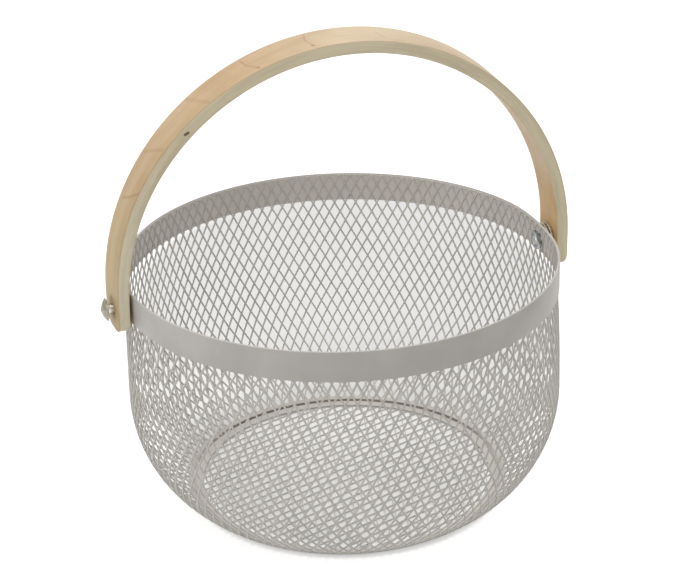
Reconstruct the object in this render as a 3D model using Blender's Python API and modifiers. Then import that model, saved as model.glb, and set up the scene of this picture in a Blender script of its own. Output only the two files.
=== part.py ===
"""Onion basket: an expanded-steel bowl with a strip rim and a folding bentwood handle.

The basket stands on the floor at z = 0, centred on the z axis. The handle's two pivots lie on
the x axis, at the left (-x) and the right (+x). Everything is in metres.
"""
import math

import bmesh
import bpy
from mathutils import Matrix

# Clearances
SEAT_GAP = 0.0003
CUT_OVERRUN = 0.002

# Rim band: a steel strip round the outside of the wall, folded in over its top edge
BAND_RADIUS = 0.125
BAND_THICKNESS = 0.001
BAND_HEIGHT = 0.0178
BAND_TOP = 0.1446
LIP_WIDTH = 0.0013
LIP_THICKNESS = 0.0008

# Expanded steel
STRAND_THICKNESS = 0.0009

# Wall: a near-upright barrel over one large bend, turned in under the base as a flat flange
BELLY_SWELL = 0.0011
BEND_RADIUS = 0.0754
BEND_ANGLE = math.radians(56.65)
FOOT_RISE = 0.001
FOOT_TUCK = 0.0016
FLANGE_WIDTH = 0.0065
HEM_HEIGHT = 0.0029

# Wall's grid: staggered diamonds, coarser than the real sheet's but with its share of metal
GRID_ROUND = 24
GRID_ROWS = 4
GRID_STRAND = 0.0038

# Base: a flat net clamped on the flange by a flat ring
RING_WIDTH = 0.0063
RING_THICKNESS = 0.0008
RING_INSET = 0.0005
NET_GAP_WIDTH = 0.0088
NET_GAP_LENGTH = 0.0165
NET_STRAND = 0.0013
NET_TURN = math.radians(-41.3)

# Pivots: a domed screw on each side, through handle, washers, band and wall
PIVOT_BELOW_TOP = 0.0106
SHANK_RADIUS = 0.003
SHANK_END_CHAMFER = 0.0005
HEAD_RADIUS = 0.0067
HEAD_HEIGHT = 0.003
HEAD_EDGE = 0.0006
HEAD_STANDOFF = 0.0028
RECESS_SPAN = 0.0052
RECESS_SLOT = 0.0012
RECESS_DEPTH = 0.0012
SHANK_PAST_NUT = 0.0006
NUT_ACROSS_FLATS = 0.010
NUT_HEIGHT = 0.003
INNER_WASHER_RADIUS = 0.0062
INNER_WASHER_THICKNESS = 0.001
SPACER_RADIUS = 0.009
SPACER_THICKNESS = 0.0012

# Handle: a bent birch strip, straight at the legs and round over the top
HANDLE_THICKNESS = 0.0071
HANDLE_WIDTH = 0.0255
HANDLE_EDGE_ROUND = 0.0006
ARCH_RISE = 0.0078
LEG_BELOW_PIVOT = 0.013
LEG_CORNER_RADIUS = 0.009
HANDLE_LEAN = math.radians(1.4)
ARCH_STEPS = 40
CORNER_STEPS = 4

# Fineness of round shapes
GRID_STEPS = 3
BOWL_STEPS = GRID_STEPS * GRID_ROUND
NET_EDGE_STEPS = 72
PIVOT_STEPS = 24
DOME_STEPS = 4
MERGE_DISTANCE = 0.00001
SMOOTH_ANGLE = math.radians(35)

# Worked out from the sizes above
BAND_BOTTOM = BAND_TOP - BAND_HEIGHT
WALL_TOP_RADIUS = BAND_RADIUS - BAND_THICKNESS - SEAT_GAP
WALL_TOP = BAND_TOP - LIP_THICKNESS - SEAT_GAP
BELLY_RADIUS = BAND_RADIUS + BELLY_SWELL
BELLY_HEIGHT = FOOT_RISE + BEND_RADIUS * math.sin(BEND_ANGLE)
FOOT_RADIUS = BELLY_RADIUS - BEND_RADIUS * (1 - math.cos(BEND_ANGLE)) - FOOT_TUCK
NET_BOTTOM = STRAND_THICKNESS + SEAT_GAP
RING_BOTTOM = NET_BOTTOM + STRAND_THICKNESS + SEAT_GAP
RING_OUTER_RADIUS = FOOT_RADIUS - RING_INSET
RING_INNER_RADIUS = RING_OUTER_RADIUS - RING_WIDTH
PIVOT_HEIGHT = BAND_TOP - PIVOT_BELOW_TOP
BAND_WASHER_FACE = BAND_RADIUS + SEAT_GAP
HANDLE_WASHER_FACE = BAND_WASHER_FACE + SPACER_THICKNESS + SEAT_GAP
HANDLE_INNER_RADIUS = HANDLE_WASHER_FACE + SPACER_THICKNESS + SEAT_GAP
HANDLE_OUTER_RADIUS = HANDLE_INNER_RADIUS + HANDLE_THICKNESS
HEAD_BASE = HANDLE_OUTER_RADIUS + HEAD_STANDOFF
HOLE_RADIUS = SHANK_RADIUS + SEAT_GAP

GREY_PAINT = ((0.52, 0.50, 0.46), 0.45, 0.0)
BIRCH = ((0.70, 0.56, 0.38), 0.55, 0.0)
ZINC = ((0.62, 0.61, 0.58), 0.3, 1.0)


def clear_scene():
    for obj in list(bpy.data.objects):
        bpy.data.objects.remove(obj, do_unlink=True)


def new_collection(name):
    collection = bpy.data.collections.new(name)
    bpy.context.scene.collection.children.link(collection)
    return collection


def new_material(name, finish):
    colour, roughness, metallic = finish
    material = bpy.data.materials.new(name)
    material.use_nodes = True
    shader = material.node_tree.nodes["Principled BSDF"]
    shader.inputs["Base Color"].default_value = (*colour, 1)
    shader.inputs["Roughness"].default_value = roughness
    shader.inputs["Metallic"].default_value = metallic
    return material


def mesh_object(name, mesh, collection, finish=None):
    obj = bpy.data.objects.new(name, mesh)
    collection.objects.link(obj)
    if finish:
        mesh.materials.append(new_material(name, finish))
    return obj


def shade_round(obj):
    obj.data.shade_smooth()
    obj.data.set_sharp_from_angle(angle=SMOOTH_ANGLE)


def turned(name, profile, steps, collection, finish, closed=True):
    """Turns a profile of (radius, height) points, running down its outer side, about z."""
    shape = bmesh.new()
    points = [shape.verts.new((radius, 0, height)) for radius, height in profile]
    for first, second in zip(points, points[1:]):
        shape.edges.new((first, second))
    if closed:
        shape.edges.new((points[-1], points[0]))
    mesh = bpy.data.meshes.new(name)
    shape.to_mesh(mesh)
    shape.free()
    obj = mesh_object(name, mesh, collection, finish)
    screw = obj.modifiers.new("Turn", "SCREW")
    screw.steps = steps
    screw.render_steps = steps
    screw.use_merge_vertices = True
    screw.merge_threshold = MERGE_DISTANCE
    screw.use_smooth_shade = False
    return obj


def apply_modifiers(obj):
    """Turns an object and its modifiers, or a curve, into a plain mesh object."""
    depsgraph = bpy.context.evaluated_depsgraph_get()
    mesh = bpy.data.meshes.new_from_object(obj.evaluated_get(depsgraph), depsgraph=depsgraph)
    shape = bmesh.new()
    shape.from_mesh(mesh)
    bmesh.ops.remove_doubles(shape, verts=shape.verts, dist=MERGE_DISTANCE)
    shape.to_mesh(mesh)
    shape.free()
    obj.modifiers.clear()
    obj.data = mesh


def pivot_rod(name, radius, start, end, collection):
    """A cutter along x at the pivots' height, from x = start to x = end."""
    shape = bmesh.new()
    bmesh.ops.create_cone(shape, cap_ends=True, segments=PIVOT_STEPS, radius1=radius,
                          radius2=radius, depth=end - start)
    mesh = bpy.data.meshes.new(name)
    shape.to_mesh(mesh)
    shape.free()
    obj = mesh_object(name, mesh, collection)
    obj.matrix_world = (Matrix.Translation(((start + end) / 2, 0, PIVOT_HEIGHT))
                        @ Matrix.Rotation(math.radians(90), 4, "Y"))
    hide_cutter(obj)
    return obj


def hide_cutter(obj):
    obj.hide_render = True
    obj.display_type = "WIRE"


def cut(obj, cutter):
    boolean = obj.modifiers.new(cutter.name, "BOOLEAN")
    boolean.operation = "DIFFERENCE"
    boolean.solver = "EXACT"
    boolean.object = cutter


def wall_lengths():
    """The wall's length down the barrel, then down the bend to the plain hem at the foot."""
    rise = BAND_BOTTOM - BELLY_HEIGHT
    barrel_length = barrel_radius() * math.asin(rise / barrel_radius())
    bend_length = BEND_RADIUS * math.asin((BELLY_HEIGHT - HEM_HEIGHT) / BEND_RADIUS)
    return barrel_length, bend_length


def barrel_radius():
    rise = BAND_BOTTOM - BELLY_HEIGHT
    draw_in = BELLY_RADIUS - WALL_TOP_RADIUS
    return (rise * rise + draw_in * draw_in) / (2 * draw_in)


def wall_place(distance):
    """Radius and height of the wall's outer side, a distance down it from the band's edge."""
    past_belly = distance - wall_lengths()[0]
    radius = BEND_RADIUS if past_belly > 0 else barrel_radius()
    turn = past_belly / radius
    return (BELLY_RADIUS - radius * (1 - math.cos(turn)),
            BELLY_HEIGHT - radius * math.sin(turn))


def ring_of_points(shape, radius, height, count, turned_by=0.0):
    """Vertices round the z axis, turned by a share of the step between two of them."""
    angles = [math.tau * (index + turned_by) / count for index in range(count)]
    return [shape.verts.new((radius * math.cos(angle), radius * math.sin(angle), height))
            for angle in angles]


def join_rings(shape, upper, lower):
    for index in range(len(upper)):
        shape.faces.new((upper[index - 1], lower[index - 1], lower[index], upper[index]))


def grid_cells(shape, top_ring, bottom_ring):
    """Faces of staggered diamonds, with half diamonds along the two plain rings."""
    half_rows = 2 * GRID_ROWS
    step = sum(wall_lengths()) / half_rows
    rows = [top_ring[::GRID_STEPS]]
    for row in range(1, half_rows):
        rows.append(ring_of_points(shape, *wall_place(row * step), GRID_ROUND, row % 2 / 2))
    rows.append(bottom_ring[::GRID_STEPS])
    cells = []
    for row in range(1, half_rows):
        for index in range(GRID_ROUND):
            left, right = rows[row][index - 1], rows[row][index]
            middle = index - 1 + row % 2
            cells.append((left, rows[row + 1][middle], right, rows[row - 1][middle]))
    for index in range(GRID_ROUND):
        plain = [(index * GRID_STEPS + place) % BOWL_STEPS for place in range(GRID_STEPS + 1)]
        cells.append([rows[1][index]] + [top_ring[place] for place in reversed(plain)])
        cells.append([rows[-2][index]] + [bottom_ring[place] for place in plain])
    return [shape.faces.new(cell) for cell in cells]


def make_wall(collection, cutters):
    """The wall: a plain strip inside the band, the grid, and a plain hem turned in as a flange."""
    shape = bmesh.new()
    strip_top = ring_of_points(shape, WALL_TOP_RADIUS, WALL_TOP, BOWL_STEPS)
    strip_bottom = ring_of_points(shape, WALL_TOP_RADIUS, BAND_BOTTOM, BOWL_STEPS)
    hem_top = ring_of_points(shape, *wall_place(sum(wall_lengths())), BOWL_STEPS)
    bend_end = BELLY_RADIUS - BEND_RADIUS * (1 - math.cos(BEND_ANGLE))
    hem_bottom = ring_of_points(shape, bend_end, FOOT_RISE, BOWL_STEPS)
    foot = ring_of_points(shape, FOOT_RADIUS, 0, BOWL_STEPS)
    flange = ring_of_points(shape, FOOT_RADIUS - FLANGE_WIDTH, 0, BOWL_STEPS)
    join_rings(shape, strip_top, strip_bottom)
    join_rings(shape, hem_top, hem_bottom)
    join_rings(shape, hem_bottom, foot)
    join_rings(shape, foot, flange)
    cells = grid_cells(shape, strip_bottom, hem_top)
    shape.normal_update()
    bmesh.ops.inset_individual(shape, faces=cells, thickness=GRID_STRAND / 2,
                               use_even_offset=True)
    bmesh.ops.delete(shape, geom=cells, context="FACES_ONLY")
    mesh = bpy.data.meshes.new("wall_mesh")
    shape.to_mesh(mesh)
    shape.free()
    wall = mesh_object("wall_mesh", mesh, collection, GREY_PAINT)
    solidify = wall.modifiers.new("Sheet", "SOLIDIFY")
    solidify.thickness = STRAND_THICKNESS
    solidify.offset = -1
    solidify.use_even_offset = True
    for cutter in cutters:
        cut(wall, cutter)
    shade_round(wall)
    return wall


def make_band(collection, cutters):
    inner = BAND_RADIUS - BAND_THICKNESS
    lip_bottom = BAND_TOP - LIP_THICKNESS
    profile = [
        (BAND_RADIUS - LIP_WIDTH, BAND_TOP),
        (BAND_RADIUS, BAND_TOP),
        (BAND_RADIUS, BAND_BOTTOM),
        (inner, BAND_BOTTOM),
        (inner, lip_bottom),
        (BAND_RADIUS - LIP_WIDTH, lip_bottom),
    ]
    band = turned("rim_band", profile, BOWL_STEPS, collection, GREY_PAINT)
    for cutter in cutters:
        cut(band, cutter)
    shade_round(band)
    return band


def make_base_ring(collection):
    profile = [
        (RING_OUTER_RADIUS, RING_THICKNESS),
        (RING_OUTER_RADIUS, 0),
        (RING_INNER_RADIUS, 0),
        (RING_INNER_RADIUS, RING_THICKNESS),
    ]
    ring = turned("base_ring", profile, BOWL_STEPS, collection, GREY_PAINT)
    ring.location = (0, 0, RING_BOTTOM)
    shade_round(ring)
    return ring


def add_outline(curve, points):
    spline = curve.splines.new("POLY")
    spline.points.add(len(points) - 1)
    for target, (x, y) in zip(spline.points, points):
        target.co = (x, y, 0, 1)
    spline.use_cyclic_u = True


def net_gap_centres(half_width, half_length, reach):
    """Centres of the net's staggered gaps that lie wholly inside the radius reach."""
    columns = math.ceil(reach / half_width)
    rows = math.ceil(reach / half_length)
    for row in range(-rows, rows + 1):
        for column in range(-columns, columns + 1):
            x = column * half_width
            y = row * half_length
            if (row + column) % 2 and math.hypot(abs(x) + half_width, y) < reach \
                    and math.hypot(x, abs(y) + half_length) < reach:
                yield x, y


def make_base_net(collection):
    """A flat disc with staggered diamond gaps, its strands crossing at the centre."""
    curve = bpy.data.curves.new("base_mesh", "CURVE")
    curve.dimensions = "2D"
    curve.fill_mode = "BOTH"
    curve.extrude = STRAND_THICKNESS / 2
    edge_radius = RING_OUTER_RADIUS - SEAT_GAP
    turns = [math.tau * index / NET_EDGE_STEPS for index in range(NET_EDGE_STEPS)]
    add_outline(curve, [(edge_radius * math.cos(t), edge_radius * math.sin(t)) for t in turns])
    half_width = NET_GAP_WIDTH / 2
    half_length = NET_GAP_LENGTH / 2
    strand_angle = math.atan2(half_width, half_length)
    across = half_width - NET_STRAND / 2 / math.cos(strand_angle)
    along = half_length - NET_STRAND / 2 / math.sin(strand_angle)
    for x, y in net_gap_centres(half_width, half_length, edge_radius - NET_STRAND):
        add_outline(curve, [(x + across, y), (x, y + along), (x - across, y), (x, y - along)])
    outline = bpy.data.objects.new("base_mesh_outline", curve)
    collection.objects.link(outline)
    net = mesh_object("base_mesh", bpy.data.meshes.new("base_mesh"), collection)
    depsgraph = bpy.context.evaluated_depsgraph_get()
    filled = outline.evaluated_get(depsgraph)
    net.data = bpy.data.meshes.new_from_object(filled, depsgraph=depsgraph)
    bpy.data.objects.remove(outline, do_unlink=True)
    apply_modifiers(net)
    net.data.materials.append(new_material("base_mesh", GREY_PAINT))
    net.location = (0, 0, NET_BOTTOM + STRAND_THICKNESS / 2)
    net.rotation_euler = (0, 0, NET_TURN)
    return net


def handle_stations():
    """Distances along the strip's outer face, from one end to the other, close at the ends."""
    leg = LEG_BELOW_PIVOT + ARCH_RISE
    arch = math.pi * HANDLE_OUTER_RADIUS
    corner = [LEG_CORNER_RADIUS * (1 - math.cos(math.radians(90) * index / CORNER_STEPS))
              for index in range(CORNER_STEPS + 1)]
    first_leg = corner + [leg]
    length = 2 * leg + arch
    over_arch = [leg + arch * index / ARCH_STEPS for index in range(1, ARCH_STEPS)]
    return first_leg + over_arch + [length - station for station in reversed(first_leg)], length


def strip_half_width(station, length):
    """Half the strip's width, drawn in by the rounded corners of its ends."""
    end_distance = min(station, length - station)
    half = HANDLE_WIDTH / 2
    if end_distance >= LEG_CORNER_RADIUS:
        return half
    reach = LEG_CORNER_RADIUS - end_distance
    return half - LEG_CORNER_RADIUS + math.sqrt(max(0, LEG_CORNER_RADIUS ** 2 - reach ** 2))


def strip_place(station, length):
    """Where a distance along the strip's outer face lies, from the pivot axis, as (x, z)."""
    leg = LEG_BELOW_PIVOT + ARCH_RISE
    if station <= leg:
        return -HANDLE_OUTER_RADIUS, station - LEG_BELOW_PIVOT
    if station >= length - leg:
        return HANDLE_OUTER_RADIUS, length - station - LEG_BELOW_PIVOT
    angle = (station - leg) / HANDLE_OUTER_RADIUS
    return (-HANDLE_OUTER_RADIUS * math.cos(angle),
            ARCH_RISE + HANDLE_OUTER_RADIUS * math.sin(angle))


def make_handle(collection, cutters):
    stations, length = handle_stations()
    last = len(stations) - 1
    bpy.ops.mesh.primitive_grid_add(x_subdivisions=last, y_subdivisions=1, size=2)
    handle = bpy.context.object
    handle.name = "handle"
    handle.data.name = "handle"
    for user in list(handle.users_collection):
        user.objects.unlink(handle)
    collection.objects.link(handle)
    for vertex in handle.data.vertices:
        station = stations[round((vertex.co.x + 1) / 2 * last)]
        x, z = strip_place(station, length)
        vertex.co = (x, vertex.co.y * strip_half_width(station, length), z)
    handle.data.materials.append(new_material("handle", BIRCH))
    handle.location = (0, 0, PIVOT_HEIGHT)
    handle.rotation_euler = (HANDLE_LEAN, 0, 0)
    solidify = handle.modifiers.new("Strip", "SOLIDIFY")
    solidify.thickness = HANDLE_THICKNESS
    solidify.offset = -1
    bevel = handle.modifiers.new("Soft edges", "BEVEL")
    bevel.width = HANDLE_EDGE_ROUND
    bevel.segments = 2
    bevel.limit_method = "ANGLE"
    bevel.angle_limit = math.radians(50)
    for cutter in cutters:
        cut(handle, cutter)
    shade_round(handle)
    return handle


def place_on_pivot(obj, side, distance):
    """Turns a piece that points up so that it points out at a side, distance from the centre."""
    obj.location = (side * distance, 0, PIVOT_HEIGHT)
    obj.rotation_euler = (0, side * math.radians(90), 0)


def washer(name, outer_radius, thickness, side, inner_face, collection):
    """A flat washer on the pivot axis whose inner face is at the given distance."""
    profile = [(outer_radius, thickness), (outer_radius, 0), (HOLE_RADIUS, 0),
               (HOLE_RADIUS, thickness)]
    disc = turned(name, profile, PIVOT_STEPS, collection, ZINC)
    place_on_pivot(disc, side, inner_face)
    shade_round(disc)
    return disc


def flat_inside(radius, half_width):
    """How far out a flat face of that half width reaches inside a round wall."""
    return math.sqrt(radius ** 2 - half_width ** 2)


def nut_positions():
    """Distances from the centre of the inner washer's and the nut's inner faces."""
    wall_inside = WALL_TOP_RADIUS - STRAND_THICKNESS
    washer_outer = flat_inside(wall_inside * math.cos(math.pi / BOWL_STEPS),
                               INNER_WASHER_RADIUS) - SEAT_GAP
    washer_inner = washer_outer - INNER_WASHER_THICKNESS
    nut_inner = washer_inner - SEAT_GAP - NUT_HEIGHT
    return washer_inner, nut_inner


def make_nut(name, side, inner_face, rod, collection):
    corner_radius = NUT_ACROSS_FLATS / 2 / math.cos(math.radians(30))
    shape = bmesh.new()
    bmesh.ops.create_cone(shape, cap_ends=True, segments=6, radius1=corner_radius,
                          radius2=corner_radius, depth=NUT_HEIGHT)
    mesh = bpy.data.meshes.new(name)
    shape.to_mesh(mesh)
    shape.free()
    nut = mesh_object(name, mesh, collection, ZINC)
    place_on_pivot(nut, side, inner_face + NUT_HEIGHT / 2)
    cut(nut, rod)
    return nut


def screw_profile(shank_length):
    """A domed head over its shank, run down the outer side from the dome's top."""
    flat_rise = HEAD_HEIGHT - HEAD_EDGE
    dome_radius = (HEAD_RADIUS ** 2 + flat_rise ** 2) / (2 * flat_rise)
    dome_angle = math.asin(HEAD_RADIUS / dome_radius)
    profile = []
    for index in range(DOME_STEPS + 1):
        angle = dome_angle * index / DOME_STEPS
        profile.append((dome_radius * math.sin(angle),
                        HEAD_HEIGHT - dome_radius * (1 - math.cos(angle))))
    profile += [
        (HEAD_RADIUS, 0),
        (SHANK_RADIUS, 0),
        (SHANK_RADIUS, SHANK_END_CHAMFER - shank_length),
        (SHANK_RADIUS - SHANK_END_CHAMFER, -shank_length),
        (0, -shank_length),
    ]
    return profile


def recess_bar(name, side, across, upright, cutters):
    """One bar of the cross recess in a screw's head."""
    bpy.ops.mesh.primitive_cube_add(size=1)
    bar = bpy.context.object
    bar.name = name
    for user in list(bar.users_collection):
        user.objects.unlink(bar)
    cutters.objects.link(bar)
    outer = HEAD_BASE + HEAD_HEIGHT + CUT_OVERRUN
    inner = HEAD_BASE + HEAD_HEIGHT - RECESS_DEPTH
    bar.scale = (outer - inner, across, upright)
    bar.location = (side * (outer + inner) / 2, 0, PIVOT_HEIGHT)
    hide_cutter(bar)
    return bar


def make_screw(end, side, shank_end, collection, cutters):
    profile = screw_profile(HEAD_BASE - shank_end)
    screw = turned("pivot_screw_" + end, profile, PIVOT_STEPS, collection, ZINC, closed=False)
    place_on_pivot(screw, side, HEAD_BASE)
    cut(screw, recess_bar("upright_recess_" + end, side, RECESS_SLOT, RECESS_SPAN, cutters))
    cut(screw, recess_bar("level_recess_" + end, side, RECESS_SPAN, RECESS_SLOT, cutters))
    shade_round(screw)
    return screw


def make_pivot(side, rod, collection, cutters):
    """The screw, washers and nut of one side, from the handle's outside inwards."""
    end = "left" if side < 0 else "right"
    washer_inner, nut_inner = nut_positions()
    make_screw(end, side, nut_inner - SHANK_PAST_NUT, collection, cutters)
    washer("handle_washer_" + end, SPACER_RADIUS, SPACER_THICKNESS, side, HANDLE_WASHER_FACE,
           collection)
    washer("band_washer_" + end, SPACER_RADIUS, SPACER_THICKNESS, side, BAND_WASHER_FACE,
           collection)
    washer("inner_washer_" + end, INNER_WASHER_RADIUS, INNER_WASHER_THICKNESS, side,
           washer_inner, collection)
    make_nut("nut_" + end, side, nut_inner, rod, collection)


def main():
    clear_scene()
    parts = new_collection("onion_basket")
    cutters = new_collection("cutters")
    reach = HANDLE_OUTER_RADIUS + CUT_OVERRUN
    inside = nut_positions()[1] - CUT_OVERRUN
    rods = [
        pivot_rod("hole_cutter_left", HOLE_RADIUS, -reach, -inside, cutters),
        pivot_rod("hole_cutter_right", HOLE_RADIUS, inside, reach, cutters),
    ]
    make_wall(parts, rods)
    make_band(parts, rods)
    make_base_net(parts)
    make_base_ring(parts)
    make_handle(parts, rods)
    make_pivot(-1, rods[0], parts, cutters)
    make_pivot(1, rods[1], parts, cutters)


main()
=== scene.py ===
"""Onion basket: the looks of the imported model, an expanded-steel bowl with a bentwood handle.

Everything is in metres, in the model's own frame: the floor is z = 0, the bowl is centred on
the z axis, and the handle's pivots lie on the x axis.
"""
import math

import bmesh
import bpy
from mathutils import Matrix, Vector, noise


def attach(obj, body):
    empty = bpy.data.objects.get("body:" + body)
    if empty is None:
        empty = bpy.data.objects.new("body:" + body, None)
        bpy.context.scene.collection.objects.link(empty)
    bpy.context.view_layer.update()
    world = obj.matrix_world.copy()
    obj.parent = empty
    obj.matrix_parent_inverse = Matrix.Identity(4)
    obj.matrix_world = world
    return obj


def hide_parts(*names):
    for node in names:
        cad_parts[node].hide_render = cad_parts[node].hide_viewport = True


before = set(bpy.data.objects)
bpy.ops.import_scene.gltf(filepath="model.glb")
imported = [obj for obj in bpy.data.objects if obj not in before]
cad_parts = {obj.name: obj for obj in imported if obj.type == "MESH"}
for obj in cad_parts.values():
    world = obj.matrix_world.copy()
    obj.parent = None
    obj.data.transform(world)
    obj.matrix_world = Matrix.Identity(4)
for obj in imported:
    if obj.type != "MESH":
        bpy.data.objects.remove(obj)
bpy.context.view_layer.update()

# The camera, as the photograph was taken
PHOTO_WIDTH = 700
LENS_PIXELS = 2191.46
SENSOR_WIDTH = 36.0
CAMERA_DISTANCE = 1.264995
CAMERA_RISE = math.radians(25.002)
CAMERA_TURN = math.radians(-18.371)
CAMERA_ROLL = math.radians(1.401)
CAMERA_AIM = (0.004382, -0.001455, 0.122325)

# Wall
BELLY_RADIUS = 0.1261
BEND_RADIUS = 0.0754
BEND_ANGLE = math.radians(56.65)
FOOT_RISE = 0.001
BELLY_HEIGHT = FOOT_RISE + BEND_RADIUS * math.sin(BEND_ANGLE)
BEND_END_RADIUS = BELLY_RADIUS - BEND_RADIUS * (1 - math.cos(BEND_ANGLE))
WALL_TOP_RADIUS = 0.12395

# Rim band
BAND_BOTTOM = 0.1268
BAND_TOP = 0.1446
BAND_INSIDE = 0.1240
BAND_OUTSIDE = 0.1250
BAND_STEPS = 234
BAND_ROUNDING = 0.00048
LIP_INSIDE = 0.1237
LIP_DEPTH = 0.0012
LIP_TAPER = 0.0018

# How the pivots pull the band out of round; the widths are angles round the axis
LEFT_PULL = 0.0017
PULL_NARROW = 7
PULL_WIDE = 30
PULL_BOTTOM = 0.085
PULL_FADE = 0.04
RIGHT_LEAN = 0.0013
LEAN_WIDTH = 11
LEAN_BOTTOM = 0.132
LEAN_FADE = 0.0126

# Expanded sheet
DIAMONDS_ROUND = 117
DIAMOND_LENGTH = 0.0124
DIAMOND_WIDTH = 0.00662
DIAMOND_ROWS = 13
WALL_STRAND = 0.00092
BASE_STRAND = 0.0005
STRAND_THICKNESS = 0.0006
EYE_BLUNTING = 0.0002
SHEET_TOP = 0.0170
SHEET_BOTTOM = 0.0006
SINK_IN_BAND = 0.0003
SHEET_TURN = math.radians(1.078)
SHEET_UNEVENNESS = 0.00012
SHEET_SEED = 3
COARSE_WAVES = 45
FINE_WAVES = 190
FINE_SHARE = 0.6
BASE_TURN = math.radians(-41.33)
BASE_HEIGHT = 0.0010
BASE_REACH = 0.0900

# Foot
FLANGE_INNER = 0.0885
FLANGE_OUTER = 0.09055
FLANGE_THICKNESS = 0.0005
HEM_HEIGHT = 0.0029
HEM_THICKNESS = 0.0006
HEM_GAP = 0.0001
HEM_BEND_RADIUS = 0.0903
HEM_INNER_HEIGHTS = (HEM_HEIGHT, 0.0018, 0.0006)
HEM_OUTER_HEIGHTS = (0.0010, 0.0020, HEM_HEIGHT)
RING_INNER = 0.0858
RING_OUTER = 0.0911
RING_BOTTOM = 0.0010
RING_THICKNESS = 0.0005
FOOT_STEPS = 180
FOOT_ROUNDING = 0.00015

# Handle, with heights counted from its pivots; -1 is its left side and 1 its right one
PIVOT_HEIGHT = 0.134
HANDLE_OUTER = 0.1357
HANDLE_THICKNESS = 0.0073
HANDLE_INNER = HANDLE_OUTER - HANDLE_THICKNESS
HANDLE_MIDDLE = (HANDLE_INNER + HANDLE_OUTER) / 2
HANDLE_SHIFT = 0.0004
HANDLE_WIDTH = 0.0255
HANDLE_LEAN = math.radians(1.4)
HANDLE_ROUNDING = 0.0006
ARCH_RISE = 0.0075
ARCH_STEPS = 120
LEFT_LEG = 0.012
RIGHT_LEG = 0.0145
LEG_CORNER = 0.009
LEG_THINNING = {-1: 0.14, 1: 0.08}
THINNING_TOP = 0.035
THINNING_FADE = 0.045
LEFT_LEG_SHIFT = 0.0005
LEFT_LEG_TWIST = math.radians(3)
TWIST_TOP = 0.080
HOLE_RADIUS = 0.0033

# Screws, nuts and washers
SHANK_RADIUS = 0.003
SHANK_CHAMFER = 0.0003
THREAD_LENGTH = 0.0102
THREAD_TURNS = 10
THREAD_PITCH = 0.001
THREAD_DEPTH = 0.0004
TIP_CHAMFER = 0.0007
TIP_PAST_NUT = 0.0002
HEAD_BASE = {-1: 0.1382, 1: 0.1363}
HEAD_RADIUS = 0.0067
HEAD_HEIGHT = 0.003
HEAD_EDGE = 0.0002
RECESS_BAR = (0.0009, 0.0036, 0.003)
RECESS_RISE = 0.0010
RECESS_TURN = math.radians(20)
NUT_THICKNESS = 0.0023
NUT_HALF_WIDTH = 0.0050
NUT_CORNER = 0.0059
NUT_CHAMFER = 0.0005
NUT_BORE = 0.0030
BORE_CHAMFER = 0.0004
NUT_INSIDE = {-1: 0.1220, 1: 0.1203}
DISC_ROUNDING = 0.0001

# Each washer's inner and outer face, counted from the bowl's axis, and its radius
DISC_PLACES = {
    -1: {"band_washer_": (0.12675, 0.12725, 0.0078), "handle_washer_": (0.12735, 0.12785, 0.0078),
         "inner_washer_": (0.1244, 0.1249, 0.0062)},
    1: {"band_washer_": (0.1256, 0.1267, 0.0094), "handle_washer_": (0.1274, 0.1285, 0.0100),
        "inner_washer_": (0.1227, 0.1232, 0.0062)},
}


def edit(obj):
    """Makes a piece the only one selected, and opens it in edit mode."""
    if bpy.context.object and bpy.context.object.mode != "OBJECT":
        bpy.ops.object.mode_set(mode="OBJECT")
    bpy.ops.object.select_all(action="DESELECT")
    obj.select_set(True)
    bpy.context.view_layer.objects.active = obj
    bpy.ops.object.mode_set(mode="EDIT")


def done():
    bpy.ops.object.mode_set(mode="OBJECT")


def named(name):
    """Names the primitive that was just added, moves its place into its mesh and opens it."""
    obj = bpy.context.object
    obj.name = name
    obj.data.name = name
    bpy.ops.object.transform_apply(location=True, rotation=True, scale=True)
    edit(obj)
    return obj


def start():
    """Leaves nothing selected, so that the next primitive is alone."""
    if bpy.context.object and bpy.context.object.mode != "OBJECT":
        bpy.ops.object.mode_set(mode="OBJECT")
    bpy.ops.object.select_all(action="DESELECT")


def pick(obj, kind, test):
    """Selects the vertices, edges or faces of an opened piece that pass a test."""
    bpy.ops.mesh.select_mode(type={"verts": "VERT", "edges": "EDGE", "faces": "FACE"}[kind])
    bpy.ops.mesh.select_all(action="DESELECT")
    shape = bmesh.from_edit_mesh(obj.data)
    for element in getattr(shape, kind):
        if test(element):
            element.select_set(True)
    shape.select_flush_mode()
    bmesh.update_edit_mesh(obj.data)


def edge_middle(edge):
    return (edge.verts[0].co + edge.verts[1].co) / 2


def apply(obj, kind, **settings):
    """Adds a modifier with these settings and applies it."""
    start()
    obj.select_set(True)
    bpy.context.view_layer.objects.active = obj
    modifier = obj.modifiers.new(kind.title(), kind)
    for name, value in settings.items():
        setattr(modifier, name, value)
    bpy.ops.object.modifier_apply(modifier=modifier.name)


def cut_away(obj, cutter, operation="DIFFERENCE"):
    apply(obj, "BOOLEAN", operation=operation, object=cutter, solver="EXACT")
    bpy.data.objects.remove(cutter, do_unlink=True)


def smooth(obj, degrees):
    start()
    obj.select_set(True)
    bpy.context.view_layer.objects.active = obj
    bpy.ops.object.shade_smooth_by_angle(angle=math.radians(degrees))


def draw_line(name, points):
    """Draws a line in the xz plane by extruding one vertex from point to point."""
    start()
    first = Vector((points[0][0], 0, points[0][1]))
    bpy.ops.mesh.primitive_plane_add(size=0.001, location=first)
    line = named(name)
    bpy.ops.mesh.select_mode(type="VERT")
    bpy.ops.mesh.select_all(action="SELECT")
    bpy.ops.mesh.merge(type="CENTER")
    for (x0, z0), (x1, z1) in zip(points, points[1:]):
        bpy.ops.mesh.extrude_region_move(TRANSFORM_OT_translate={"value": (x1 - x0, 0, z1 - z0)})
    return line


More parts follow.
